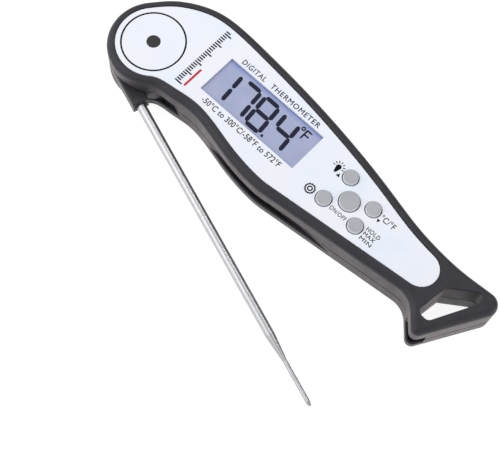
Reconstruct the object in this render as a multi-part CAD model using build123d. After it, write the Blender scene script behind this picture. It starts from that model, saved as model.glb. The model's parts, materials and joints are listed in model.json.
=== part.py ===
from build123d import *
import os
from math import cos, radians, sin

# Folding instant-read kitchen thermometer, in millimetres.
# It lies on its back: +Z is out of the front face, +X runs along the handle to its tail.
# The origin is on the probe's pivot axis, in the plane of the back face.

# ---- driving dimensions ----
THICKNESS = 17.3          # back face to the front rim
SPLIT_Z = 7.7             # parting plane of the two casing halves, and the probe's mid plane
HEAD_R = 13.5             # round end of the face panel, about the pivot
RIM = 3.37                # casing rim outside the face panel, along the handle
HEAD_RIM = 2.95           # the same round the head
EDGE_R = 2.2              # rounding of the casing's front and back edges
WALL = 1.9                # side wall
BACK_WALL = 1.8
FACE_Z = 17.1             # face panel's front surface
PANEL_T = 1.0
PANEL_GAP = 0.28          # dark gap between the face panel and the casing
DECK_Z = 15.0             # inside of the wall that carries the face panel
GROOVE_DEPTH = 0.5        # shadow line at the parting plane
GROOVE_HEIGHT = 0.5

SLOT_H = 5.9              # height of the gap that the hub and the stored probe lie in
SLOT_Y = -11.3            # inner wall of the probe slot
SLOT_START_X = 30.0
SLOT_END_X = 137.9
SLOT_WALL = 1.4
FLOOR_T = 1.2             # web between that gap and the hollow above or below it
HUB_POCKET_R = 16.9
HUB_WALL_R = 18.1
NECK_GAP_Y = -8.9         # inner wall of the opening that the hub's neck swings out of
NECK_GAP_END_X = 18.5     # where that wall starts to slant out to the waist
LIP = 0.8                 # thickness of the rear casing's lip along the side gaps
LIP_WELL_Z = 2.4          # bottom of the well behind that lip
LIP_R = 0.45              # rounding of the side gaps' outer edges
HOLE_EDGE_R = 0.4         # rounding round the hanging hole
OPEN_STOP_Y = 16.75       # stop that the neck meets when the probe is fully out
CAVITY_END_X = 118.0
CHAMBER_START_X = 6.0

REST_ANGLE = -18.04       # probe drawn part way out; 0 would be stored in the slot
PROBE_OFFSET = 13.47      # probe axis to pivot axis
HUB_R = 16.4
HUB_T = 5.5
NECK_END = 15.9
NECK_INNER = -10.45
STEM_R = 1.75
STEM_ROOT_R = 1.5         # the stem's thinner end, gripped in the hub's neck
STEM_BORE_R = 1.15
STEM_START = 9.0
STEM_SHOULDER = 16.3      # where the thinner end stops, just outside the neck
GROMMET_R = 2.3
GROMMET_DEPTH = 1.0       # let into the neck
GROMMET_LIP = 0.25        # out of the neck
TAPER_START = 109.8
NEEDLE_START = 119.5
NEEDLE_R = 0.85
NEEDLE_BORE_R = 0.5
TIP_END = 136.4
POINT_START = TIP_END - 1.4
POINT_R = 0.5
NEEDLE_BORE_END = TIP_END - 2.0
SENSOR_START = TIP_END - 4.6
LEAD_CHANNEL_R = 0.7
PROBE_LEAD_R = 0.3
LEAD_WINDOW_R = 7.5       # circle on which the sensor leads leave the hub

SHAFT_R = 3.0
SHAFT_Z = (2.6, 12.9)
BUSH_R = 4.2
RUNNING_GAP = 0.05
PIVOT_BOSS_R = 5.2
PIVOT_SCREW_R = 1.2
PIVOT_SCREW_START_Z = 8.0
PIVOT_HEAD_R = 2.2
PIVOT_HEAD_Z = (14.6, 15.8)
PIVOT_CAP_R = 2.36
PIVOT_CAP_GAP = 0.14
SEAL_R = 10.8             # middle of the hub's face seals
SEAL_W = 1.2
SEAL_DEPTH = 0.7

WINDOW_CENTRE = (45.8, 6.5)
WINDOW_SIZE = (43.2, 16.0)
WINDOW_LEDGE = 0.6        # the deck's edge under the window
WINDOW_SINK = 0.25        # how far the window lies below the panel's surface
LCD_SIZE = (46.0, 19.0)
LCD_Z = (12.9, 15.0)
BACKLIGHT_Z = (11.9, 12.9)
BOARD_Z = (10.9, 11.9)
REED_CENTRE = (20.4, 6.0)
BUZZER_CENTRE = (52, 5)

SMALL_BUTTON_R = 2.68
POWER_BUTTON_R = 3.52
BUTTON_TOP_Z = 18.1
BUTTON_TRAVEL = 0.6
BUTTON_GAP = 0.4
DECK_HOLE_GAP = 0.35
BUTTONS = {
    "light_button": (83.9, 9.7, SMALL_BUTTON_R),
    "unit_button": (97.0, 6.4, SMALL_BUTTON_R),
    "power_button": (89.3, 2.9, POWER_BUTTON_R),
    "calibrate_button": (82.3, -2.2, SMALL_BUTTON_R),
    "hold_button": (96.4, -2.2, SMALL_BUTTON_R),
}
KEYPAD_CENTRE = (89.7, 3.9)
KEYPAD_SIZE = (24.6, 22.0)

CELL_CENTRE = (86.0, 3.3)
CELL_R = 10.0
CELL_Z = (2.7, 5.9)
COVER_R = 12.2
LEDGE_R = 11.0
WELL_R = 12.0
WELL_OUTER_R = 12.8
WELL_TOP_Z = 6.4

BOSSES = [(21.0, 20.3), (24.0, -5.6), (71.5, 15.8), (66.0, -6.9), (104.5, 3.0)]
BOSS_R = 2.2
CASE_SCREW_R = 0.93
CASE_SCREW_HEAD_R = 1.65
MAGNETS = [(30.0, 6.0), (112.0, 2.2)]
MAGNET_R = 4.5
MAGNET_Z = (0.8, 2.8)

UP = (0, 0, 1)


# ---- helpers ----
def slab(face, z0, z1):
    """Solid over a flat face, from z0 up to z1."""
    return extrude(Pos(0, 0, z0) * face, amount=z1 - z0, dir=UP)


def disc(radius, z0, z1, x=0.0, y=0.0):
    """Upright cylinder."""
    return Pos(x, y, (z0 + z1) / 2) * Cylinder(radius, z1 - z0)


def ring(outer, inner, z0, z1, x=0.0, y=0.0):
    """Upright tube."""
    return disc(outer, z0, z1, x, y) - disc(inner, z0 - 1, z1 + 1, x, y)


def block(x0, x1, y0, y1, z0, z1):
    """Box between two corners."""
    centre = Pos((x0 + x1) / 2, (y0 + y1) / 2, (z0 + z1) / 2)
    return centre * Box(x1 - x0, y1 - y0, z1 - z0)


def rod(radius, start, end, y, z=SPLIT_Z):
    """Cylinder along X."""
    return Pos((start + end) / 2, y, z) * Rot(0, 90, 0) * Cylinder(radius, end - start)


def cone_rod(radius0, radius1, start, end, y, z=SPLIT_Z):
    """Cone along X."""
    return Pos((start + end) / 2, y, z) * Rot(0, 90, 0) * Cone(radius0, radius1, end - start)


def edges_at(shape, z):
    """Edges that lie in the plane at height z."""
    return shape.edges().filter_by_position(Axis.Z, z - 0.01, z + 0.01)


def polar(radius, degrees):
    return (radius * cos(radians(degrees)), radius * sin(radians(degrees)))


def save(name, shape):
    export_step(shape, f"parts/{name}.step")


# ---- outlines ----
BELLY_ANGLE = radians(7.02)        # slope of the straight lower edge of the handle
TOP_ANGLE = radians(4.59)          # slope of the top edge where it meets the tail
BELLY_SLOPE = (cos(BELLY_ANGLE), sin(BELLY_ANGLE))
TOP_SLOPE = (-cos(TOP_ANGLE), sin(TOP_ANGLE))
TAIL_CENTRE = (121.9, 1.81)        # round tail end of the face panel
TAIL_R = 6.3
WAIST_ANGLE = -50                  # where the head's circle ends, at the waist
CREST_ANGLE = 142                  # where it ends at the top edge


def beside(edge, far, near, count, head_first):
    """Spline beside an edge, to its right: far from it along the handle, near it at the head's end."""
    points = []
    for i in range(count + 1):
        t = i / count
        closeness = (1 - t if head_first else t) ** 3
        distance = far + (near - far) * closeness
        points.append(edge @ t + Vector((edge % t).Y, -(edge % t).X) * distance)
    return Spline(*points, tangents=[edge % 0, edge % 1])


def waist_edge():
    head_tangent = (-sin(radians(WAIST_ANGLE)), cos(radians(WAIST_ANGLE)))
    points = [polar(HEAD_R, WAIST_ANGLE), (16.84, -7.85), (28.5, -6.55), (42.1, -8.93), (59.5, -11.66)]
    points.append(belly_point(0))
    return Spline(*points, tangents=[head_tangent, BELLY_SLOPE])


def top_edge():
    points = [top_point(0), (109.5, 9.81), (96.8, 12.71), (75.8, 16.92), (50.5, 20.46), (29.5, 22.30)]
    points += [(16.84, 22.86), (8.42, 21.93), (0.0, 18.40), (-5.22, 14.57), polar(HEAD_R, CREST_ANGLE)]
    head_tangent = (-sin(radians(CREST_ANGLE)), cos(radians(CREST_ANGLE)))
    return Spline(*points, tangents=[TOP_SLOPE, head_tangent])


def head_edge(grow):
    """Round end of the head, about the pivot, from the top edge round to the waist."""
    return CenterArc((0, 0), HEAD_R + grow, CREST_ANGLE, 360 + WAIST_ANGLE - CREST_ANGLE)


def belly_point(grow, along=-51.0):
    """Point on the straight lower edge, moved out by grow; along is measured from the tail's circle."""
    radius = TAIL_R + grow
    x = TAIL_CENTRE[0] + radius * BELLY_SLOPE[1] + along * BELLY_SLOPE[0]
    y = TAIL_CENTRE[1] - radius * BELLY_SLOPE[0] + along * BELLY_SLOPE[1]
    return (x, y)


def top_point(grow):
    """Point where the top edge leaves the tail's circle, moved out by grow."""
    radius = TAIL_R + grow
    return (TAIL_CENTRE[0] + radius * TOP_SLOPE[1], TAIL_CENTRE[1] - radius * TOP_SLOPE[0])


def leaf(grow, head_grow=None):
    """Leaf shape of the face panel, moved out by grow: round head, waist, belly, round tail end."""
    near = grow if head_grow is None else head_grow
    waist = beside(waist_edge(), grow, near, 7, True)
    belly = Line(belly_point(grow), belly_point(grow, 0))
    tail_end = (TAIL_CENTRE[0] + TAIL_R + grow, TAIL_CENTRE[1])
    tail = ThreePointArc(belly_point(grow, 0), tail_end, top_point(grow))
    top = beside(top_edge(), grow, near, 12, False)
    return make_face(Curve() + [head_edge(near), waist, belly, tail, top])


def round_corners(face, corners):
    """Round the named corners of a flat face; each is (point, radius)."""
    for point, radius in corners:
        vertex = face.vertices().sort_by_distance((point[0], point[1], 0))[0]
        face = fillet(vertex, radius)
    return face


def moved_in(before, point, after, inset):
    """Corner of an outline that runs anticlockwise, when both edges that meet there move in by inset."""
    arriving = (Vector(*point) - Vector(*before)).normalized()
    leaving = (Vector(*after) - Vector(*point)).normalized()
    middle = (arriving + leaving).normalized()
    reach = inset / (arriving.X * middle.X + arriving.Y * middle.Y)
    return (point[0] - middle.Y * reach, point[1] + middle.X * reach)


def body_outline(inset=0.0):
    """Outside of the casing, moved in by inset: the leaf shape, carried on into a three-cornered tail."""
    rim = RIM - inset
    head_rim = HEAD_RIM - inset
    corners = [belly_point(RIM, 2.25), (134.81, -18.0), (152.9, 12.73), (130.6, 10.81)]
    path = [belly_point(RIM)] + corners + [top_point(RIM)]
    if inset:
        corners = [moved_in(*path[i - 1:i + 2], inset) for i in range(1, 5)]
    waist = beside(waist_edge(), rim, head_rim, 7, True)
    tail = Polyline(belly_point(rim), *corners, top_point(rim))
    top = beside(top_edge(), rim, head_rim, 12, False)
    face = make_face(Curve() + [head_edge(head_rim), waist, tail, top])
    radii = (9.0 + inset, 2.4 - inset, 4.4 - inset, 80.0 + inset)
    return round_corners(face, list(zip(corners, radii)))


def hole_outline(grow=0.0):
    """Hanging hole, moved out by grow: a slanted triangle with one sharp tooth on its left side."""
    path = [(132.2, 2.36), (130.3, -10.0), (135.0, -10.2), (147.3, 13.2)]
    if grow:
        path = [moved_in(path[i - 1], path[i], path[(i + 1) % 4], -grow) for i in range(4)]
    radii = (0.3, 1.8 + grow, 2.0 + grow, 1.94 + grow)
    return round_corners(make_face(Polyline(*path, close=True)), list(zip(path, radii)))


def side_gaps(grow=0.0):
    """Plan of the gaps at the probe's side, moved in to the casing by grow: neck opening and probe slot."""
    far = -30.0
    corner = (NECK_GAP_END_X, NECK_GAP_Y)
    slant_end = (NECK_GAP_END_X + 15.0, NECK_GAP_Y - 5.0)
    neck = Polyline((far, far), (far, NECK_GAP_Y), corner, slant_end, (slant_end[0], far), close=True)
    middle = ((SLOT_START_X + SLOT_END_X) / 2, (SLOT_Y + far) / 2)
    slot = Pos(*middle) * Rectangle(SLOT_END_X - SLOT_START_X, SLOT_Y - far)
    return Pos(grow, grow) * (make_face(neck) + slot)


def chamber_outline(grow=0.0):
    """Sealed room for the electronics between hub, side gaps and side walls, moved out by grow."""
    plan = leaf(RIM - WALL + grow) - side_gaps(SLOT_WALL - grow) - Circle(HUB_WALL_R - grow)
    plan -= Pos(CAVITY_END_X + grow + 50, 0) * Rectangle(100, 100)
    return plan - Pos(CHAMBER_START_X - grow - 50, 0) * Rectangle(100, 100)


PANEL = leaf(0.0)
OUTLINE = body_outline()
HOLE = hole_outline()
INNER = leaf(RIM - WALL) - Pos(CAVITY_END_X + 50, 0) * Rectangle(100, 100)
CHAMBER = chamber_outline()

SLOT_Z = (SPLIT_Z - SLOT_H / 2, SPLIT_Z + SLOT_H / 2)
HUB_Z = (SPLIT_Z - HUB_T / 2, SPLIT_Z + HUB_T / 2)
CELL_X, CELL_Y = CELL_CENTRE


# ---- casing ----
def edges_along(shape, z, plan):
    """Edges of a shape at height z that run along the outline of a plan."""
    outline = plan.faces()[0].outer_wire()

    def runs_along(edge):
        points = [Vertex((edge @ t).X, (edge @ t).Y, 0) for t in (0.2, 0.5)]
        return all(outline.distance_to(point) < 0.02 for point in points)

    return [edge for edge in edges_at(shape, z) if runs_along(edge)]


def casing_blank():
    """Whole casing as one block, rounded front and back, with the hanging hole and the shadow line."""
    blank = slab(OUTLINE, 0, THICKNESS)
    blank = fillet(edges_at(blank, THICKNESS) + edges_at(blank, 0), EDGE_R)
    blank -= slab(HOLE, -1, THICKNESS + 1)
    blank = fillet(edges_along(blank, THICKNESS, HOLE) + edges_along(blank, 0, HOLE), HOLE_EDGE_R)
    z0 = SPLIT_Z - GROOVE_HEIGHT / 2
    z1 = SPLIT_Z + GROOVE_HEIGHT / 2
    groove = slab(OUTLINE, z0, z1) - slab(body_outline(GROOVE_DEPTH), z0 - 1, z1 + 1)
    groove += slab(hole_outline(GROOVE_DEPTH), z0, z1)
    return blank - groove


def probe_space():
    """Gap between the halves: hub pocket, sweep of the neck, and the slot that stores the probe."""
    z0, z1 = SLOT_Z
    pocket = disc(HUB_POCKET_R, z0, z1)
    sweep = block(-30, 0, -30, OPEN_STOP_Y, z0, z1)
    return pocket + sweep + slab(side_gaps(), z0, z1)


def side_well():
    """Deeper part of the side gaps in the rear casing, behind its lip."""
    plan = side_gaps(-0.4) & body_outline(LIP)
    return slab(plan - Circle(HUB_POCKET_R), LIP_WELL_Z, SLOT_Z[0] + 1)


def room(plan, z0, z1):
    """Hollow between two heights, less the pivot boss."""
    return slab(plan, z0, z1) - disc(PIVOT_BOSS_R, z0 - 1, z1 + 1)


def front_shell():
    shell = casing_blank() & block(-40, 160, -40, 40, SPLIT_Z, THICKNESS + 1)
    shell -= probe_space()
    shell -= slab(CHAMBER, SPLIT_Z - 1, DECK_Z)
    shell -= room(INNER, SLOT_Z[1] + FLOOR_T, DECK_Z)
    shell -= slab(leaf(PANEL_GAP), FACE_Z - PANEL_T, THICKNESS + 1)
    for x, y in BOSSES:
        shell += disc(BOSS_R, SPLIT_Z, DECK_Z + 0.2, x, y)
        shell -= disc(CASE_SCREW_R + 0.02, SPLIT_Z - 1, SPLIT_Z + 6.0, x, y)
    shell -= disc(SHAFT_R, SLOT_Z[1] - 1, SHAFT_Z[1])
    shell -= disc(PIVOT_SCREW_R + 0.2, 12, 15)
    shell -= disc(PIVOT_HEAD_R + 0.15, PIVOT_HEAD_Z[0], FACE_Z)
    for x, y, radius in BUTTONS.values():
        shell -= disc(radius + DECK_HOLE_GAP, DECK_Z - 1, FACE_Z, x, y)
    shell -= window_block(DECK_Z - 1, FACE_Z, 2 * WINDOW_LEDGE)
    shell -= seal_ring(SLOT_Z[1], SLOT_Z[1] + SEAL_DEPTH)
    shell -= lead_window()
    return fillet(edges_along(shell, SLOT_Z[1], OUTLINE), LIP_R)


def seal_ring(z0, z1):
    return ring(SEAL_R + SEAL_W / 2, SEAL_R - SEAL_W / 2, z0, z1)


def lead_window():
    """Curved slot over the hub that the sensor leads sweep through as the probe turns."""
    window = ring(LEAD_WINDOW_R + 0.8, LEAD_WINDOW_R - 0.8, SLOT_Z[1] - 1, SLOT_Z[1] + FLOOR_T + 1)
    return window & block(-20, 4.5, -20, 20, SLOT_Z[1] - 1, SLOT_Z[1] + FLOOR_T + 1)


def rear_shell():
    shell = casing_blank() & block(-40, 160, -40, 40, -1, SPLIT_Z)
    shell -= probe_space()
    shell -= slab(CHAMBER, BACK_WALL, SPLIT_Z + 1)
    shell -= room(INNER - side_gaps(SLOT_WALL), BACK_WALL, SLOT_Z[0] - FLOOR_T)
    shell -= side_well()
    shell -= gasket_solid()
    shell += disc(WELL_OUTER_R, 0, WELL_TOP_Z + 0.8, CELL_X, CELL_Y)
    shell -= disc(COVER_R + 0.15, -1, BACK_WALL, CELL_X, CELL_Y)
    shell -= disc(LEDGE_R, 0, 3, CELL_X, CELL_Y)
    shell -= disc(WELL_R, 2.6, WELL_TOP_Z, CELL_X, CELL_Y)
    for angle in (60, 180, 300):
        notch = ring(11.98, 10.2, BACK_WALL - 0.5, 3, CELL_X, CELL_Y) & wedge(angle, 34)
        shell -= notch
    shell -= disc(1.6, 5, 8, CELL_X, CELL_Y)
    shell -= block(CELL_X - 2, CELL_X + 2, CELL_Y + 10.0, CELL_Y + 11.0, 5, 8)
    for x, y in BOSSES:
        shell += disc(BOSS_R, BACK_WALL - 0.5, SPLIT_Z, x, y)
        shell -= disc(1.2, 0, SPLIT_Z + 1, x, y)
        shell -= disc(CASE_SCREW_HEAD_R + 0.1, -1, 2.0, x, y)
    for x, y in MAGNETS:
        shell += ring(MAGNET_R + 0.8, MAGNET_R, BACK_WALL - 0.2, MAGNET_Z[1] + 0.2, x, y)
        shell -= disc(MAGNET_R, MAGNET_Z[0], MAGNET_Z[1] + 0.2, x, y)
    shell -= disc(SHAFT_R, SHAFT_Z[0], SPLIT_Z)
    shell -= seal_ring(SLOT_Z[0] - SEAL_DEPTH, SLOT_Z[0])
    return fillet(edges_along(shell, SLOT_Z[0], OUTLINE), LIP_R)


def wedge(angle, width):
    """Sector about the coin cell's centre, for cutting rings into lugs and notches."""
    reach = 20.0
    sector = Polyline((0, 0), polar(reach, angle - width / 2), polar(reach, angle + width / 2), close=True)
    return Pos(CELL_X, CELL_Y, 0) * slab(make_face(sector), -1, 10)


def gasket_solid():
    return slab(chamber_outline(1.0) - chamber_outline(0.3), SPLIT_Z - 0.6, SPLIT_Z)


def face_panel():
    panel = slab(PANEL, FACE_Z - PANEL_T, FACE_Z)
    panel = fillet(edges_at(panel, FACE_Z), 0.2)
    panel -= window_block(FACE_Z - PANEL_T - 1, FACE_Z + 1)
    panel -= disc(PIVOT_CAP_R + PIVOT_CAP_GAP, FACE_Z - PANEL_T - 1, FACE_Z + 1)
    for x, y, radius in BUTTONS.values():
        panel -= disc(radius + BUTTON_GAP, FACE_Z - PANEL_T - 1, FACE_Z + 1, x, y)
    return panel


def window_block(z0, z1, shrink=0.0):
    return centred_block(WINDOW_SIZE, z0, z1, shrink)


def display_window():
    return window_block(FACE_Z - PANEL_T, FACE_Z - WINDOW_SINK)


# ---- display and electronics ----
def centred_block(size, z0, z1, shrink=0.0):
    """Block about the display's centre, its length and width less shrink."""
    wx, wy = WINDOW_CENTRE
    w = size[0] - shrink
    h = size[1] - shrink
    return block(wx - w / 2, wx + w / 2, wy - h / 2, wy + h / 2, z0, z1)


def lcd_glass():
    """Two glass sheets, the back one longer for its contact ledges, so its long edges step."""
    middle = (LCD_Z[0] + LCD_Z[1]) / 2
    return centred_block(LCD_SIZE, LCD_Z[0], middle) + centred_block(LCD_SIZE, middle, LCD_Z[1], 1.2)


def backlight_plate():
    """Light guide with a lamp foot at its head end; it leaves room for the contact strips."""
    plate = centred_block(LCD_SIZE, *BACKLIGHT_Z, 3.6)
    wx, wy = WINDOW_CENTRE
    head_end = wx - LCD_SIZE[0] / 2
    return plate + block(head_end + 0.3, head_end + 2, wy - 3, wy + 3, *BACKLIGHT_Z)


def lcd_contact_strips():
    wx, wy = WINDOW_CENTRE
    length = LCD_SIZE[0] / 2 - 1
    edge = LCD_SIZE[1] / 2
    low = block(wx - length, wx + length, wy - edge + 0.1, wy - edge + 1.5, *BACKLIGHT_Z)
    high = block(wx - length, wx + length, wy + edge - 1.5, wy + edge - 0.1, *BACKLIGHT_Z)
    return Compound([low, high])


def circuit_board():
    board = slab(chamber_outline(-0.4), *BOARD_Z)
    for x, y in BOSSES:
        board -= disc(BOSS_R + 0.25, 10, 13, x, y)
    return board


def board_chips():
    """Controller, amplifier and regulator on the back of the board."""
    z = BOARD_Z[0]
    controller = block(30, 38, 8, 16, z - 1.2, z)
    amplifier = block(28, 32, -1, 3.5, z - 1.4, z)
    regulator = block(64, 67, 6, 9, z - 1.1, z)
    return Compound([controller, amplifier, regulator])


def buzzer():
    """Round sounder with its sound hole, on the back of the board."""
    body = disc(6.0, BOARD_Z[0] - 2.6, BOARD_Z[0], *BUZZER_CENTRE)
    return body - disc(0.9, BOARD_Z[0] - 3, BOARD_Z[0] - 1.4, *BUZZER_CENTRE)


def reed_switch():
    """Glass switch that senses the hub's magnet when the probe is stored."""
    x, y = REED_CENTRE
    switch = Pos(x, y, BOARD_Z[0] - 1.0) * Rot(90, 0, 0) * Cylinder(0.9, 7.0)
    for end in (y - 4.2, y + 4.2):
        switch += block(x - 0.2, x + 0.2, end - 0.7, end + 0.7, BOARD_Z[0] - 1.2, BOARD_Z[0])
    return switch


def keypad_web():
    """Silicone tray under the keys: a thin floor with a hole for each plunger and a glued-on rim."""
    rim = 0.8
    outer = chamber_outline(-0.5) & (Pos(*KEYPAD_CENTRE) * Rectangle(*KEYPAD_SIZE))
    inner = chamber_outline(-0.5 - rim)
    inner &= Pos(*KEYPAD_CENTRE) * Rectangle(KEYPAD_SIZE[0] - 2 * rim, KEYPAD_SIZE[1] - 2 * rim)
    web = slab(outer, 12.75, DECK_Z) - slab(inner, 13.2, DECK_Z + 1)
    for x, y, _ in BUTTONS.values():
        web -= disc(1.6, 12, 14, x, y)
    return web


def dome_switches():
    domes = []
    for x, y, _ in BUTTONS.values():
        base = disc(2.2, BOARD_Z[1], BOARD_Z[1] + 0.3, x, y)
        domes.append(base + disc(1.0, BOARD_Z[1] + 0.2, BOARD_Z[1] + 0.6, x, y))
    return Compound(domes)


def button(x, y, radius):
    """Key cap with a flange under the deck and a plunger over its dome switch."""
    cap = disc(radius, 14.8, BUTTON_TOP_Z, x, y)
    cap = fillet(edges_at(cap, BUTTON_TOP_Z), 0.45)
    flange = disc(radius + 0.75, 14.1, 14.9, x, y)
    plunger = disc(1.2, BOARD_Z[1] + 0.6 + BUTTON_TRAVEL + 0.05, 14.5, x, y)
    return cap + flange + plunger


# ---- battery ----
def coin_cell():
    z0, z1 = CELL_Z
    can = disc(CELL_R, z0, z1 - 0.5, CELL_X, CELL_Y)
    can = fillet(edges_at(can, z0), 0.4)
    return can + disc(CELL_R - 1.2, z1 - 0.6, z1, CELL_X, CELL_Y)


def battery_contact_negative():
    """Leaf that presses on the cell's cap, on a post down from the board."""
    leaf_z = CELL_Z[1] + 0.02
    post = block(CELL_X - 0.7, CELL_X + 0.7, CELL_Y - 0.2, CELL_Y + 0.2, leaf_z, BOARD_Z[0])
    return post + block(CELL_X - 3.5, CELL_X + 3.5, CELL_Y - 1.0, CELL_Y + 1.0, leaf_z, leaf_z + 0.3)


def battery_contact_positive():
    """Strip down the side of the cell, up through the well to the board."""
    side = CELL_Y + CELL_R + 0.25
    return block(CELL_X - 1.5, CELL_X + 1.5, side, side + 0.4, 3.5, BOARD_Z[0])


def battery_cover():
    """Round quarter-turn cover with a coin slot outside and three lugs inside."""
    cover = disc(COVER_R, 0.15, BACK_WALL - 0.05, CELL_X, CELL_Y)
    cover = chamfer(edges_at(cover, 0.15), 0.3)
    cover += disc(LEDGE_R - 0.1, 1, 2.65, CELL_X, CELL_Y)
    for angle in (0, 120, 240):
        cover += ring(11.85, 10.25, 2.64, 3.35, CELL_X, CELL_Y) & wedge(angle, 28)
        cover += ring(LEDGE_R - 0.1, 10.25, 2.6, 3.35, CELL_X, CELL_Y) & wedge(angle, 28)
    coin_slot = Pos(CELL_X, CELL_Y, 0.5) * Rot(0, 0, 30) * Box(12.0, 1.7, 1.3)
    return cover - coin_slot - cover_seal_solid()


def cover_seal_solid():
    return ring(11.95, 11.25, 1.1, BACK_WALL - 0.02, CELL_X, CELL_Y)


# ---- pivot ----
def pivot_shaft():
    return disc(SHAFT_R, *SHAFT_Z) - disc(PIVOT_SCREW_R, PIVOT_SCREW_START_Z, SHAFT_Z[1] + 1)


def cross_recess(reach, half_width, z0, z1, x=0.0, y=0.0):
    """Cross-shaped cutter for a screw head."""
    across = block(x - reach, x + reach, y - half_width, y + half_width, z0, z1)
    return across + block(x - half_width, x + half_width, y - reach, y + reach, z0, z1)


def pivot_screw():
    screw = disc(PIVOT_HEAD_R, *PIVOT_HEAD_Z)
    screw += disc(PIVOT_SCREW_R, PIVOT_SCREW_START_Z, PIVOT_HEAD_Z[0] + 0.1)
    return screw - cross_recess(1.6, 0.35, 15.2, 16)


def pivot_cap():
    cap = disc(PIVOT_CAP_R, FACE_Z - PANEL_T, FACE_Z + 0.05)
    return fillet(edges_at(cap, FACE_Z + 0.05), 0.15) - disc(1.5, 15.5, 16.3)


def friction_washer():
    """Thin spring washer between hub and rear casing, round the shaft."""
    return ring(5.0, SHAFT_R + 0.1, SLOT_Z[0], HUB_Z[0] - 0.02)


def case_screws():
    screws = []
    for x, y in BOSSES:
        head = disc(CASE_SCREW_HEAD_R, 0.6, 2.0, x, y) - cross_recess(1.2, 0.22, 0, 1.1, x, y)
        screws.append(head + disc(CASE_SCREW_R, 1.5, SPLIT_Z + 5.5, x, y))
    return Compound(screws)


def back_magnets():
    return Compound([disc(MAGNET_R, *MAGNET_Z, x, y) for x, y in MAGNETS])


def hub_seals():
    """Two flat face seals, one in each half of the casing, just off the hub."""
    front = seal_ring(HUB_Z[1] + 0.03, SLOT_Z[1] + SEAL_DEPTH)
    rear = seal_ring(SLOT_Z[0] - SEAL_DEPTH, HUB_Z[0] - 0.03)
    return Compound([front, rear])


def lead_loop():
    """Spare turn of sensor lead above the hub, ending at the board."""
    z = 12.7
    path = CenterArc((0, 0), LEAD_WINDOW_R, -108, 108)
    run = Line((LEAD_WINDOW_R, 0), (LEAD_WINDOW_R, 4.0))
    start = Plane(origin=(path @ 0) + Vector(0, 0, z), x_dir=(0, 0, 1), z_dir=path % 0)
    return sweep(start * Circle(0.45), path=Pos(0, 0, z) * (Curve() + [path, run]))


# ---- probe, drawn as stored in the slot: its axis runs along +X ----
PROBE_Y = -PROBE_OFFSET


def probe_hub():
    """Disc on the pivot with a tangent neck that grips the stem."""
    z0, z1 = HUB_Z
    hub = disc(HUB_R, z0, z1) + block(0, NECK_END, -HUB_R, NECK_INNER, z0, z1)
    hub = fillet(edges_at(hub, z0) + edges_at(hub, z1), 0.6)
    hub -= disc(BUSH_R, z0 - 1, z1 + 1)
    hub -= rod(STEM_ROOT_R, STEM_START, NECK_END + 1, PROBE_Y)
    hub -= rod(GROMMET_R, NECK_END - GROMMET_DEPTH, NECK_END + 1, PROBE_Y)
    hub -= lead_channel(LEAD_CHANNEL_R)
    return hub - hub_magnet()


def lead_channel(radius):
    """Path of the sensor leads inside the hub: along the stem, in to the lead circle, then up."""
    along = rod(radius, 0, STEM_START + 0.5, PROBE_Y)
    middle = (PROBE_Y - LEAD_WINDOW_R) / 2
    across = Pos(0, middle, SPLIT_Z) * Rot(90, 0, 0) * Cylinder(radius, PROBE_OFFSET - LEAD_WINDOW_R + radius)
    rise = disc(radius, SPLIT_Z - radius, HUB_Z[1] + 0.01, 0, -LEAD_WINDOW_R)
    return along + across + rise


def hub_magnet():
    return disc(1.6, SPLIT_Z - 1.0, SPLIT_Z + 1.0, *polar(13.4, 12))


def hub_bush():
    return ring(BUSH_R, SHAFT_R + RUNNING_GAP, *HUB_Z)


def stem_grommet():
    grommet = rod(GROMMET_R, NECK_END - GROMMET_DEPTH, NECK_END + GROMMET_LIP, PROBE_Y)
    return grommet - rod(STEM_ROOT_R, STEM_START, STEM_SHOULDER, PROBE_Y)


def probe_stem():
    stem = rod(STEM_ROOT_R, STEM_START, STEM_SHOULDER, PROBE_Y)
    stem += rod(STEM_R, STEM_SHOULDER, TAPER_START, PROBE_Y)
    return stem - rod(STEM_BORE_R, STEM_START - 1, TAPER_START + 1, PROBE_Y)


def probe_tip():
    """Swaged end: a long taper to a thin needle with a blunt point, closed at the end."""
    tip = cone_rod(STEM_R, NEEDLE_R, TAPER_START, NEEDLE_START, PROBE_Y)
    tip += rod(NEEDLE_R, NEEDLE_START, POINT_START, PROBE_Y)
    tip += cone_rod(NEEDLE_R, POINT_R, POINT_START, TIP_END, PROBE_Y)
    tip -= cone_rod(STEM_BORE_R, NEEDLE_BORE_R, TAPER_START, NEEDLE_START, PROBE_Y)
    return tip - rod(NEEDLE_BORE_R, NEEDLE_START - 0.1, NEEDLE_BORE_END, PROBE_Y)


def tip_sensor():
    return rod(NEEDLE_BORE_R - 0.05, SENSOR_START, NEEDLE_BORE_END - 0.1, PROBE_Y)


def sensor_leads():
    along_stem = rod(PROBE_LEAD_R, STEM_START - 0.5, SENSOR_START, PROBE_Y)
    return lead_channel(PROBE_LEAD_R) + along_stem


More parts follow.
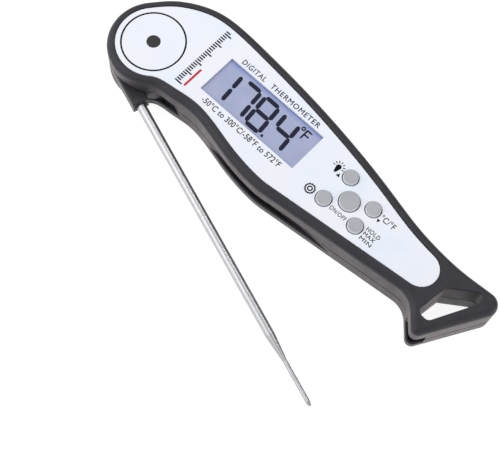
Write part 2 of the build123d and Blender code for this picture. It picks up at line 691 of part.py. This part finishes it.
STATIC = {
    "front_shell": front_shell,
    "rear_shell": rear_shell,
    "perimeter_gasket": gasket_solid,
    "face_panel": face_panel,
    "display_window": display_window,
    "lcd_glass": lcd_glass,
    "backlight_plate": backlight_plate,
    "lcd_contact_strips": lcd_contact_strips,
    "circuit_board": circuit_board,
    "board_chips": board_chips,
    "buzzer": buzzer,
    "reed_switch": reed_switch,
    "keypad_web": keypad_web,
    "dome_switches": dome_switches,
    "coin_cell": coin_cell,
    "battery_contact_negative": battery_contact_negative,
    "battery_contact_positive": battery_contact_positive,
    "battery_cover": battery_cover,
    "battery_cover_seal": cover_seal_solid,
    "pivot_shaft": pivot_shaft,
    "pivot_screw": pivot_screw,
    "pivot_cap": pivot_cap,
    "friction_washer": friction_washer,
    "hub_seals": hub_seals,
    "lead_loop": lead_loop,
    "case_screws": case_screws,
    "back_magnets": back_magnets,
}
PROBE = {
    "probe_hub": probe_hub,
    "hub_bush": hub_bush,
    "hub_magnet": hub_magnet,
    "stem_grommet": stem_grommet,
    "probe_stem": probe_stem,
    "probe_tip": probe_tip,
    "tip_sensor": tip_sensor,
    "sensor_leads": sensor_leads,
}

os.makedirs("parts", exist_ok=True)
for name, make in STATIC.items():
    save(name, make())
for name, make in PROBE.items():
    save(name, Rot(0, 0, REST_ANGLE) * make())
for name, (x, y, radius) in BUTTONS.items():
    save(name, button(x, y, radius))
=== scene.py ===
import json
import math

import bmesh
import bpy
from mathutils import Matrix, Vector


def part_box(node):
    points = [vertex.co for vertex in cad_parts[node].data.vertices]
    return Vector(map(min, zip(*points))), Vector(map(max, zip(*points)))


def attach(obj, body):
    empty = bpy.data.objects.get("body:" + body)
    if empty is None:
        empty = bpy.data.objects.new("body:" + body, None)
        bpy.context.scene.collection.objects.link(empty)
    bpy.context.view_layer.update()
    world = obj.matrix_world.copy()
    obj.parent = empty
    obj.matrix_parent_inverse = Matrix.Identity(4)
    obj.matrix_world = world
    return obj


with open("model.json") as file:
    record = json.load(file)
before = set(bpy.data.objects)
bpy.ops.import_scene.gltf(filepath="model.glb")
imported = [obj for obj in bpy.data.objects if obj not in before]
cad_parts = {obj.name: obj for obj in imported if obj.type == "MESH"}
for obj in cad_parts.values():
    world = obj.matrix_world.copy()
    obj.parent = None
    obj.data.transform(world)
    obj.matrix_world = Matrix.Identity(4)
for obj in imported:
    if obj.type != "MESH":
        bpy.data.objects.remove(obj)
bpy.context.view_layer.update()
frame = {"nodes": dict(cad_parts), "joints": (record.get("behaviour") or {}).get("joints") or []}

# Looks of the folding food thermometer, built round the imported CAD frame.
# The frame is in metres. Sizes written here in millimetres are turned into metres by MM.
MM = 0.001

PANEL_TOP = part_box("face_panel")[1].z / MM
PANE_LOW, PANE_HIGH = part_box("display_window")
HINGE = next(j for j in frame["joints"] if j["name"] == "probe_hinge")
STORED_ANGLE = math.radians(HINGE["range_deg"][1])     # from the rest pose to the probe stored in its slot
LEGEND_WEIGHT = 0.012                                  # thickens the strokes of the printed text
INK_HEIGHT = 0.015                                     # printed ink stands this far off the panel
INK_Z = (PANEL_TOP - INK_HEIGHT / 2, PANEL_TOP + INK_HEIGHT)
GRAIN_DEPTH = 0.012                                    # of the mould texture


# ---- material graphs ----
class Graph:
    """Node tree of one procedural material; textures run on the object's own coordinates, in metres."""

    def __init__(self, name):
        self.material = bpy.data.materials.new(name)
        self.material.use_nodes = True
        self.tree = self.material.node_tree
        self.shader = self.tree.nodes["Principled BSDF"]
        self.coords = self.add("ShaderNodeTexCoord").outputs["Object"]

    def add(self, kind, inputs=None, **settings):
        node = self.tree.nodes.new(kind)
        for key, value in settings.items():
            setattr(node, key, value)
        for key, value in (inputs or {}).items():
            self.feed(node.inputs[key], value)
        return node

    def feed(self, socket, value):
        if isinstance(value, bpy.types.NodeSocket):
            self.tree.links.new(value, socket)
        else:
            socket.default_value = value

    def surface(self, **inputs):
        """Feeds the shader; a name's underscores stand for spaces."""
        for key, value in inputs.items():
            self.feed(self.shader.inputs[key.replace("_", " ")], value)

    def noise(self, size_mm, detail=3.0, rough=0.5, coords=None):
        """Noise whose blotches are about size_mm across."""
        settings = {"Scale": 1.0 / (size_mm * MM), "Detail": detail, "Roughness": rough}
        settings["Vector"] = coords or self.coords
        return self.add("ShaderNodeTexNoise", settings).outputs["Fac"]

    def stretched(self, turn, factors):
        """Object coordinates turned about Z and scaled, for grain that runs one way."""
        turned = self.add("ShaderNodeMapping", {"Vector": self.coords, "Rotation": (0, 0, turn)})
        scaled = self.add("ShaderNodeMapping", {"Vector": turned.outputs[0], "Scale": factors})
        return scaled.outputs[0]

    def spread(self, value, low, high, start=0.3, end=0.7):
        """Value from start to end becomes low to high."""
        inputs = {"Value": value, "From Min": start, "From Max": end, "To Min": low, "To Max": high}
        return self.add("ShaderNodeMapRange", inputs).outputs[0]

    def tint(self, factor, first, second):
        """Colour between first and second by factor."""
        node = self.add("ShaderNodeMix", data_type="RGBA")
        self.feed(node.inputs[0], factor)
        for socket, colour in ((node.inputs[6], first), (node.inputs[7], second)):
            self.feed(socket, colour if isinstance(colour, bpy.types.NodeSocket) else (*colour, 1.0))
        return node.outputs[2]

    def bump(self, height, depth_mm, strength=0.5, under=None):
        inputs = {"Height": height, "Distance": depth_mm * MM, "Strength": strength}
        if under is not None:
            inputs["Normal"] = under
        return self.add("ShaderNodeBump", inputs).outputs[0]


def moulded(name, dark, light, rough=(0.42, 0.56), grain_mm=0.16, specular=0.5, sheen=0.0, painted_rim_light=None):
    """Moulded plastic or rubber: mould texture, flow patches, polish; a painted highlight colour, where
    given, lightens the rounded edges as they lean away from facing up.
    """
    g = Graph(name)
    patches = g.spread(g.noise(9.0, 4), 0.0, 1.0)
    speck = g.spread(g.noise(0.35, 2), 0.0, 0.35)
    colour = g.tint(patches, dark, light)
    colour = g.tint(speck, colour, light)
    # Painted highlight: the colour turns toward the pale rim colour the more the surface leans away from
    # facing up, standing in for light on the rounded sides.
    if painted_rim_light:
        facing = g.add("ShaderNodeNewGeometry").outputs["Normal"]
        tilt = g.add("ShaderNodeSeparateXYZ", {"Vector": facing}).outputs[2]
        colour = g.tint(g.spread(tilt, 1.0, 0.0, 0.3, 0.97), colour, painted_rim_light)
    grain = g.noise(grain_mm, 3)
    ripple = g.noise(2.6, 2)
    normal = g.bump(ripple, GRAIN_DEPTH * 2.5, 0.25)
    normal = g.bump(grain, GRAIN_DEPTH, 0.6, normal)
    g.surface(Base_Color=colour, Roughness=g.spread(g.noise(4.0, 5), *rough), Normal=normal)
    g.surface(Specular_IOR_Level=specular)
    g.surface(Sheen_Weight=sheen, Sheen_Roughness=0.35, Sheen_Tint=(0.88, 0.74, 0.70, 1.0))
    return g.material


def gloss_panel():
    """Cool white overlay with faint blue patches and an orange-peel surface."""
    g = Graph("panel_white")
    patches = g.spread(g.noise(17.0, 2), 0.0, 1.0, 0.38, 0.62)
    cream = g.spread(g.noise(7.0, 4), 0.0, 0.5)
    colour = g.tint(patches, (0.885, 0.90, 0.96), (0.825, 0.885, 0.975))
    colour = g.tint(cream, colour, (0.90, 0.89, 0.945))
    normal = g.bump(g.noise(1.3, 2), 0.01, 0.2)
    g.surface(Base_Color=colour, Roughness=g.spread(g.noise(3.0, 4), 0.34, 0.46), Normal=normal)
    return g.material


def steel(name, turn, tone, rough=(0.2, 0.36), reach=(0.04, 1.6, 1.6)):
    """Drawn or turned steel: fine scratches that run along one direction, and faint smears."""
    g = Graph(name)
    lines = g.noise(0.12, 4, 0.65, g.stretched(turn, reach))
    smear = g.noise(3.5, 3)
    low, high = tone
    colour = g.tint(g.spread(lines, 0.0, 1.0), (low, low, low * 1.01), (high, high, high * 1.015))
    normal = g.bump(lines, 0.004, 0.35)
    roughness = g.spread(lines, *rough)
    patchy = g.add("ShaderNodeMath", {0: roughness, 1: g.spread(smear, -0.03, 0.05)}, operation="ADD")
    g.surface(Base_Color=colour, Metallic=1.0, Roughness=patchy.outputs[0], Normal=normal)
    return g.material


def brass():
    """Turned brass: fine rings round the bush and a change of tone between them."""
    g = Graph("bush_brass")
    lines = g.noise(0.15, 4, 0.6, g.stretched(0.0, (1.0, 1.0, 0.1)))
    colour = g.tint(g.spread(lines, 0.0, 1.0), (0.56, 0.40, 0.15), (0.78, 0.60, 0.28))
    g.surface(Base_Color=colour, Metallic=1.0, Roughness=g.spread(lines, 0.25, 0.42))
    g.surface(Normal=g.bump(lines, 0.004, 0.3))
    return g.material


def clear(name, tint, alpha):
    """Clear sheet; it shows mostly as gloss, fine wiping marks and a faint tint."""
    g = Graph(name)
    wipes = g.noise(0.9, 4, 0.6, g.stretched(0.4, (0.12, 1.0, 1.0)))
    colour = g.tint(g.spread(wipes, 0.0, 1.0), tint, tuple(min(1.0, 1.05 * c) for c in tint))
    g.surface(Base_Color=colour, Roughness=g.spread(wipes, 0.05, 0.13), Alpha=alpha)
    g.surface(Normal=g.bump(wipes, 0.003, 0.1))
    return g.material


def display_film():
    """Lit liquid crystal screen: blue-grey, with painted shade of the window's recess: deeper blue under
    its upper edge and a dark line at the edges.
    """
    g = Graph("display")
    place = g.add("ShaderNodeSeparateXYZ", {"Vector": g.coords}).outputs
    haze = g.spread(g.noise(6.0, 3), 0.0, 1.0)
    colour = g.tint(haze, (0.345, 0.395, 0.585), (0.40, 0.435, 0.62))
    # Painted shade: a deeper blue band under the upper edge stands in for the shadow that the window's
    # recess casts on the screen.
    top = g.spread(place[1], 0.0, 1.0, PANE_HIGH.y - 2.1 * MM, PANE_HIGH.y - 0.25 * MM)
    wander = g.spread(g.noise(5.0, 2), 0.55, 1.0)
    painted_top_shade = g.add("ShaderNodeMath", {0: top, 1: wander}, operation="MULTIPLY").outputs[0]
    colour = g.tint(painted_top_shade, colour, (0.19, 0.25, 0.56))
    # Painted shade: a thin dark line along each edge of the screen, where the recess walls shade it.
    for axis, start, end in (
        (0, PANE_LOW.x + 0.35 * MM, PANE_LOW.x),
        (0, PANE_HIGH.x - 0.35 * MM, PANE_HIGH.x),
        (1, PANE_LOW.y + 0.3 * MM, PANE_LOW.y),
        (1, PANE_HIGH.y - 0.45 * MM, PANE_HIGH.y),
    ):
        edge = g.spread(place[axis], 0.0, 0.8, start, end)
        colour = g.tint(edge, colour, (0.13, 0.145, 0.27))
    g.surface(Base_Color=colour, Roughness=g.spread(g.noise(2.0, 3), 0.3, 0.4))
    g.surface(Normal=g.bump(g.noise(0.25, 2), 0.003, 0.15))
    return g.material


def ink(name, colour, specular=0.25):
    """Printed ink: faint thin spots and a slightly uneven film."""
    g = Graph(name)
    thin = g.spread(g.noise(0.5, 4), 0.0, 1.0, 0.35, 0.75)
    g.surface(Base_Color=g.tint(thin, colour, tuple(c * 1.4 + 0.001 for c in colour)))
    g.surface(Roughness=g.spread(g.noise(0.8, 3), 0.4, 0.55), Normal=g.bump(g.noise(0.1, 2), 0.003, 0.2))
    g.surface(Specular_IOR_Level=specular)
    return g.material


LOOKS = {
    "casing": moulded(
        "casing", (0.0185, 0.018, 0.0235), (0.0265, 0.0255, 0.033), specular=0.4, sheen=0.36
    ),
    "hub_plastic": moulded(
        "hub_plastic", (0.0165, 0.016, 0.0205), (0.0235, 0.023, 0.028), (0.36, 0.5), sheen=0.2
    ),
    "panel_white": gloss_panel(),
    "window_clear": clear("window_clear", (0.45, 0.5, 0.66), 0.02),
    "display": display_film(),
    "light_guide": moulded("light_guide", (0.74, 0.77, 0.86), (0.84, 0.86, 0.93), rough=(0.25, 0.35)),
    "seal_rubber": moulded("seal_rubber", (0.014, 0.014, 0.015), (0.03, 0.029, 0.031), rough=(0.6, 0.75)),
    "board_green": moulded("board_green", (0.02, 0.12, 0.055), (0.035, 0.19, 0.09), rough=(0.3, 0.4)),
    "black_parts": moulded("black_parts", (0.012, 0.012, 0.013), (0.022, 0.022, 0.024), rough=(0.45, 0.6)),
    "switch_glass": clear("switch_glass", (0.66, 0.8, 0.7), 0.4),
    "silicone": moulded("silicone", (0.40, 0.41, 0.43), (0.50, 0.51, 0.53), rough=(0.6, 0.72)),
    "spring_steel": steel("spring_steel", 0.0, (0.46, 0.64), reach=(0.3, 1.0, 1.0)),
    "cell_steel": steel("cell_steel", 0.0, (0.55, 0.74), reach=(1.0, 1.0, 0.2)),
    "screw_steel": steel("screw_steel", 0.5, (0.34, 0.5), (0.3, 0.45), (1.0, 0.2, 1.0)),
    "lead_insulation": moulded("lead_insulation", (0.42, 0.05, 0.04), (0.56, 0.09, 0.07), (0.3, 0.42)),
    "magnet_plate": steel("magnet_plate", 0.0, (0.6, 0.72), (0.12, 0.22), (1.0, 1.0, 1.0)),
    "bush_brass": brass(),
    "probe_steel": steel("probe_steel", STORED_ANGLE, (0.46, 0.62), (0.28, 0.42)),
    # The pale rim colour of the keys is a painted highlight on their rounded sides.
    "key_grey": moulded(
        "key_grey", (0.40, 0.41, 0.44), (0.455, 0.46, 0.49), (0.42, 0.52), 0.22, painted_rim_light=(0.82, 0.83, 0.86)
    ),
}
INK = ink("legend_ink", (0.002, 0.002, 0.003), 0.08)
SEGMENT = ink("segment_ink", (0.006, 0.009, 0.024), 0.1)
RED_INK = ink("scale_red_ink", (0.50, 0.02, 0.035))

for node in frame["nodes"].values():
    slot_name = node.data.materials[0].name.split(".")[0]
    node.data.materials[0] = LOOKS[slot_name]


# ---- mesh helpers ----
def add_piece(name, mesh, body, material):
    """New piece from a mesh in frame coordinates, riding on a body."""
    piece = bpy.data.objects.new(name, mesh)
    bpy.context.scene.collection.objects.link(piece)
    mesh.materials.clear()
    mesh.materials.append(material)
    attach(piece, body)


def prism(bm, outline, z0, z1):
    """Closed prism over a flat outline of (x, y) points, all in millimetres."""
    low = [bm.verts.new((x * MM, y * MM, z0 * MM)) for x, y in outline]
    high = [bm.verts.new((x * MM, y * MM, z1 * MM)) for x, y in outline]
    bm.faces.new(list(reversed(low)))
    bm.faces.new(high)
    for i in range(len(outline)):
        j = (i + 1) % len(outline)
        bm.faces.new((low[i], low[j], high[j], high[i]))


def ring_prism(bm, centre, radius, width, z0, z1, steps):
    """Closed flat ring about a centre, in millimetres."""
    loops = []
    inner = radius - width / 2
    outer = radius + width / 2
    for r, z in ((inner, z0), (outer, z0), (outer, z1), (inner, z1)):
        points = [polar(centre, r, 2 * math.pi * k / steps) for k in range(steps)]
        loops.append([bm.verts.new((x * MM, y * MM, z * MM)) for x, y in points])
    for a, b in zip(loops, loops[1:] + loops[:1]):
        for k in range(steps):
            n = (k + 1) % steps
            bm.faces.new((a[k], a[n], b[n], b[k]))


def finish_mesh(bm, name):
    """Mesh of a bmesh, its faces turned outward."""
    bmesh.ops.recalc_face_normals(bm, faces=bm.faces)
    mesh = bpy.data.meshes.new(name)
    bm.to_mesh(mesh)
    bm.free()
    return mesh


def polar(centre, radius, angle):
    """Point at a radius and an angle about a centre."""
    return (centre[0] + radius * math.cos(angle), centre[1] + radius * math.sin(angle))


def capsule(a, b, width, steps=7):
    """Outline of a round-ended bar from a to b."""
    heading = math.atan2(b[1] - a[1], b[0] - a[0])
    points = []
    for centre, start in ((b, heading - math.pi / 2), (a, heading + math.pi / 2)):
        for k in range(steps + 1):
            points.append(polar(centre, width / 2, start + math.pi * k / steps))
    return points


def printed(name, shapes, material=INK):
    """Ink piece on the face panel from a list of outlines."""
    bm = bmesh.new()
    for outline in shapes:
        prism(bm, outline, *INK_Z)
    add_piece(name, finish_mesh(bm, name), "casing", material)


def printed_rings(name, centre, radii, width, steps):
    """Ink piece on the face panel from rings about one centre."""
    bm = bmesh.new()
    for radius in radii:
        ring_prism(bm, centre, radius, width, *INK_Z, steps)
    add_piece(name, finish_mesh(bm, name), "casing", INK)


def legend(name, text, x_span, y_span, spacing):
    """Printed text that fills a box on the face panel."""
    curve = bpy.data.curves.new(name, "FONT")
    curve.body = text
    curve.space_character = spacing
    curve.bevel_depth = LEGEND_WEIGHT
    curve.bevel_resolution = 0
    curve.resolution_u = 4
    curve.extrude = 0.5
    scratch = bpy.data.objects.new(name + "_curve", curve)
    bpy.context.scene.collection.objects.link(scratch)
    bpy.context.view_layer.update()
    mesh = bpy.data.meshes.new_from_object(scratch)
    bpy.data.objects.remove(scratch)
    low = Vector([min(v.co[k] for v in mesh.vertices) for k in range(3)])
    high = Vector([max(v.co[k] for v in mesh.vertices) for k in range(3)])
    for vertex in mesh.vertices:
        for k, (start, end) in enumerate((x_span, y_span, INK_Z)):
            share = (vertex.co[k] - low[k]) / (high[k] - low[k])
            vertex.co[k] = (start + (end - start) * share) * MM
    add_piece(name, mesh, "casing", INK)


# ---- display ----
SCREEN_Z = PANE_LOW.z / MM + 0.08
DIGIT_MID_Y = 6.3
DIGIT_HALF_W = 3.13
DIGIT_HALF_H = 5.9
DIGIT_LEAN = -0.093
SEGMENT_W = 1.62
SEGMENT_GAP = 0.3
SEGMENTS = {
    "a": ((-1, 1), (1, 1)),
    "b": ((1, 0), (1, 1)),
    "c": ((1, -1), (1, 0)),
    "d": ((-1, -1), (1, -1)),
    "e": ((-1, -1), (-1, 0)),
    "f": ((-1, 0), (-1, 1)),
    "g": ((-1, 0), (1, 0)),
}
LIT = (("bc", 28.85), ("abc", 37.72), ("abcdefg", 46.27), ("bcfg", 55.9))     # segments, digit centre x
DECIMAL_POINT = [(51.05, 1.0), (51.95, 0.95), (52.05, -0.05), (51.1, 0.0)]
UNIT_STROKES = (
    ((61.55, 9.1), (61.55, 12.75)),
    ((61.55, 12.75), (63.5, 12.75)),
    ((61.55, 10.9), (63.4, 10.9)),
)
UNIT_STROKE_W = 0.62
DEGREE_CENTRE = (60.1, 12.35)
DEGREE_R = 0.58
DEGREE_W = 0.5


def segment_outline(start, end, centre_x):
    """Bar with pointed, slightly blunted ends between two corners of the digit's lattice."""
    a = Vector((start[0] * DIGIT_HALF_W, start[1] * DIGIT_HALF_H))
    b = Vector((end[0] * DIGIT_HALF_W, end[1] * DIGIT_HALF_H))
    along = (b - a).normalized()
    across = Vector((-along.y, along.x))
    half = SEGMENT_W / 2
    blunt = 0.3 * half
    profile = (
        (0, blunt),
        (0.25 * half, 0.62 * half),
        (half - blunt * 0.6, half - 0.05),
        (half + 0.1, half),
    )
    side = [a + along * (SEGMENT_GAP / 2 + s + 0.14) + across * w for s, w in profile]
    side += [b - along * (SEGMENT_GAP / 2 + s + 0.14) + across * w for s, w in reversed(profile)]
    mirrored = [p - across * 2 * (p - a).dot(across) for p in reversed(side)]
    points = side + mirrored
    return [(centre_x + p.x + DIGIT_LEAN * p.y, DIGIT_MID_Y + p.y) for p in points]


def display():
    """Lit screen under the window, and the dark segments of the reading on it."""
    x0, y0 = PANE_LOW.x / MM, PANE_LOW.y / MM
    x1, y1 = PANE_HIGH.x / MM, PANE_HIGH.y / MM
    screen = bmesh.new()
    prism(screen, [(x0, y0), (x1, y0), (x1, y1), (x0, y1)], SCREEN_Z - 0.04, SCREEN_Z)
    add_piece("lcd_screen", finish_mesh(screen, "lcd_screen"), "casing", LOOKS["display"])
    bars = [segment_outline(*SEGMENTS[s], x) for glyph, x in LIT for s in glyph]
    bars.append(DECIMAL_POINT)
    bars += [capsule(a, b, UNIT_STROKE_W, 3) for a, b in UNIT_STROKES]
    film = (SCREEN_Z - 0.01, SCREEN_Z + 0.03)
    bm = bmesh.new()
    for bar in bars:
        prism(bm, bar, *film)
    ring_prism(bm, DEGREE_CENTRE, DEGREE_R, DEGREE_W, *film, 32)
    add_piece("lcd_segments", finish_mesh(bm, "lcd_segments"), "casing", SEGMENT)


# ---- printing on the face panel ----
LEGENDS = (
    # piece, text, from x to x, from y to y, letter spacing
    ("legend_title_left", "DIGITAL", (27.8, 38.5), (15.4, 17.45), 1.15),
    ("legend_title_right", "THERMOMETER", (41.2, 63.7), (15.4, 17.45), 1.15),
    ("legend_range", "-50°C to 300°C/-58°F to 572°F", (27.6, 63.7), (-4.85, -2.45), 1.05),
    ("legend_power", "ON/OFF", (85.8, 92.75), (-3.6, -2.0), 1.15),
    ("legend_unit", "°C/°F", (100.7, 106.5), (5.25, 7.6), 1.1),
    ("legend_hold", "HOLD", (99.85, 105.4), (-0.8, 0.8), 1.1),
    ("legend_max", "MAX", (100.1, 104.8), (-2.65, -1.2), 1.1),
    ("legend_min", "MIN", (100.1, 104.9), (-4.65, -3.25), 1.1),
)
PIVOT_RING_R = 11.37
PIVOT_RING_W = 0.62
CALIBRATE_CENTRE = (76.6, -2.7)
CALIBRATE_RADII = (1.66, 0.78)
CALIBRATE_RING_W = 0.46
CALIBRATE_TEETH = 14
BULB_CENTRE = (78.35, 9.85)
BULB_R = 0.98
BULB_FOOT = ((-0.42, 7.75), (-0.25, 7.5), (0.25, 7.5), (0.42, 7.75))     # x from the bulb's centre, y
BULB_RAYS = 7
SCALE_X = 15.5
SCALE_START_Y = -5.0
TICKS = 27
TICK_STEP = 0.99
TICK_HALF_W = 0.27


def face_printing():
    """Legends, the ring round the pivot, and the symbols beside the keys."""
    for row in LEGENDS:
        legend(*row)
    printed_rings("printed_ring", (0, 0), (PIVOT_RING_R,), PIVOT_RING_W, 180)
    printed_rings("calibrate_icon", CALIBRATE_CENTRE, CALIBRATE_RADII, CALIBRATE_RING_W, 64)
    printed("calibrate_teeth", calibrate_teeth())
    printed("light_icon", bulb_outlines())
    printed("light_arrow", [[(79.5, 7.0), (80.95, 7.0), (80.25, 8.35)]])
    printed("unit_arrow", [[(100.05, 5.05), (100.7, 3.75), (101.35, 5.05)]])


def calibrate_teeth():
    """Short teeth round the outer ring of the calibration symbol."""
    teeth = []
    for k in range(CALIBRATE_TEETH):
        angle = 2 * math.pi * k / CALIBRATE_TEETH
        root = polar(CALIBRATE_CENTRE, 1.8, angle)
        end = polar(CALIBRATE_CENTRE, 1.98, angle)
        teeth.append(capsule(root, end, 0.3, 3))
    return teeth


def bulb_outlines():
    """Lamp symbol: a bulb that tapers to its foot, with rays over its crown."""
    crown = [polar(BULB_CENTRE, BULB_R, math.radians(-20 + 220 * k / 14)) for k in range(15)]
    foot = [(BULB_CENTRE[0] + x, y) for x, y in BULB_FOOT]
    rays = []
    for k in range(BULB_RAYS):
        angle = math.radians(-4 + 188 * k / (BULB_RAYS - 1))
        rays.append(capsule(polar(BULB_CENTRE, 1.6, angle), polar(BULB_CENTRE, 2.15, angle), 0.34, 4))
    return [crown + foot] + rays


def scale_mark():
    """Plain graduated scale across the handle, with a short red column beside it."""
    ticks = []
    for k in range(TICKS):
        y = SCALE_START_Y + k * TICK_STEP
        end_x = SCALE_X + (3.1 if k % 5 == 0 else 1.9)
        low_y, high_y = y - TICK_HALF_W, y + TICK_HALF_W
        ticks.append([(SCALE_X, low_y), (end_x, low_y), (end_x, high_y), (SCALE_X, high_y)])
    printed("scale_ticks", ticks)
    printed("scale_column", [capsule((19.6, -4.4), (19.6, 3.4), 0.85)], RED_INK)


display()
face_printing()
scale_mark()


# ---- camera, light and floor ----
SKY_LEVEL = 0.58
CARD_LEVEL = 0.04
BACKDROP_LEVEL = 0.95             # the sky as the camera sees it
LIT_POINT = (0.065, -0.01, 0.01)


def camera():
    """Camera above the handle's near side, turned so that the handle runs down to the right."""
    data = bpy.data.cameras.new("camera")
    data.sensor_width = 36.0
    data.lens = 83.45
    data.clip_start = 0.01
    view = bpy.data.objects.new("camera", data)
    bpy.context.scene.collection.objects.link(view)
    right = Vector((0.7262, 0.6866, 0.0345)).normalized()
    back = Vector((0.2083, -0.2677, 0.9407)).normalized()
    up = back.cross(right).normalized()
    right = up.cross(back)
    turn = Matrix((right, up, back)).transposed().to_4x4()
    view.matrix_world = Matrix.Translation((0.15324, -0.13110, 0.37630)) @ turn
    bpy.context.scene.camera = view


def soft_box(name, place, size, power):
    """White area light that faces the middle of the handle."""
    data = bpy.data.lights.new(name, "AREA")
    data.shape = "RECTANGLE"
    data.size, data.size_y = size
    data.energy = power
    lamp = bpy.data.objects.new(name, data)
    bpy.context.scene.collection.objects.link(lamp)
    direction = Vector(LIT_POINT) - Vector(place)
    turn = direction.to_track_quat("-Z", "Y").to_matrix().to_4x4()
    lamp.matrix_world = Matrix.Translation(place) @ turn


def soft_sky():
    """Even pale sky, but dark low down on the handle's far side, as with a black card beside the set."""
    world = bpy.data.worlds.new("studio")
    world.use_nodes = True
    tree = world.node_tree
    background = tree.nodes["Background"]
    direction = tree.nodes.new("ShaderNodeTexCoord").outputs["Generated"]
    toward_card = tree.nodes.new("ShaderNodeVectorMath")
    toward_card.operation = "DOT_PRODUCT"
    toward_card.inputs[1].default_value = (0.05, 0.95, 0.3)
    tree.links.new(direction, toward_card.inputs[0])
    level = tree.nodes.new("ShaderNodeMapRange")
    tree.links.new(toward_card.outputs["Value"], level.inputs["Value"])
    ranges = {"From Min": 0.68, "From Max": 0.84, "To Min": SKY_LEVEL, "To Max": CARD_LEVEL}
    for key, value in ranges.items():
        level.inputs[key].default_value = value
    seen = tree.nodes.new("ShaderNodeMix")
    tree.links.new(tree.nodes.new("ShaderNodeLightPath").outputs["Is Camera Ray"], seen.inputs[0])
    tree.links.new(level.outputs[0], seen.inputs[2])
    seen.inputs[3].default_value = BACKDROP_LEVEL
    tree.links.new(seen.outputs[0], background.inputs["Strength"])
    background.inputs["Color"].default_value = (0.96, 0.97, 1.0, 1.0)
    bpy.context.scene.world = world


def studio():
    """Pale sky and three soft boxes."""
    soft_sky()
    soft_box("key", (-0.6, -0.38, 0.66), (1.2, 1.0), 5.6)
    soft_box("top_strip", (-0.03, 0.5, 0.74), (0.9, 0.2), 1.8)
    soft_box("right_side", (0.9, 0.25, 0.32), (0.5, 0.4), 1.7)
    bpy.context.scene.view_settings.view_transform = "Standard"


def floor():
    """White paper under the handle, lit from within so that it shows no shadow edge."""
    g = Graph("floor_paper")
    cloud = g.spread(g.noise(60.0, 3), 0, 1)
    g.surface(Base_Color=g.tint(cloud, (0.24, 0.24, 0.242), (0.27, 0.27, 0.273)))
    g.surface(Emission_Color=(1.0, 1.0, 1.0, 1.0), Emission_Strength=0.9)
    g.surface(Roughness=g.spread(g.noise(5.0, 4), 0.8, 0.95), Normal=g.bump(g.noise(0.6, 4), 0.05, 0.1))
    bm = bmesh.new()
    bmesh.ops.create_grid(bm, x_segments=8, y_segments=8, size=1.6)
    mesh = bpy.data.meshes.new("floor")
    bm.to_mesh(mesh)
    bm.free()
    mesh.materials.append(g.material)
    sheet = bpy.data.objects.new("floor", mesh)
    sheet.location.z = -0.0001
    bpy.context.scene.collection.objects.link(sheet)


camera()
studio()
floor()
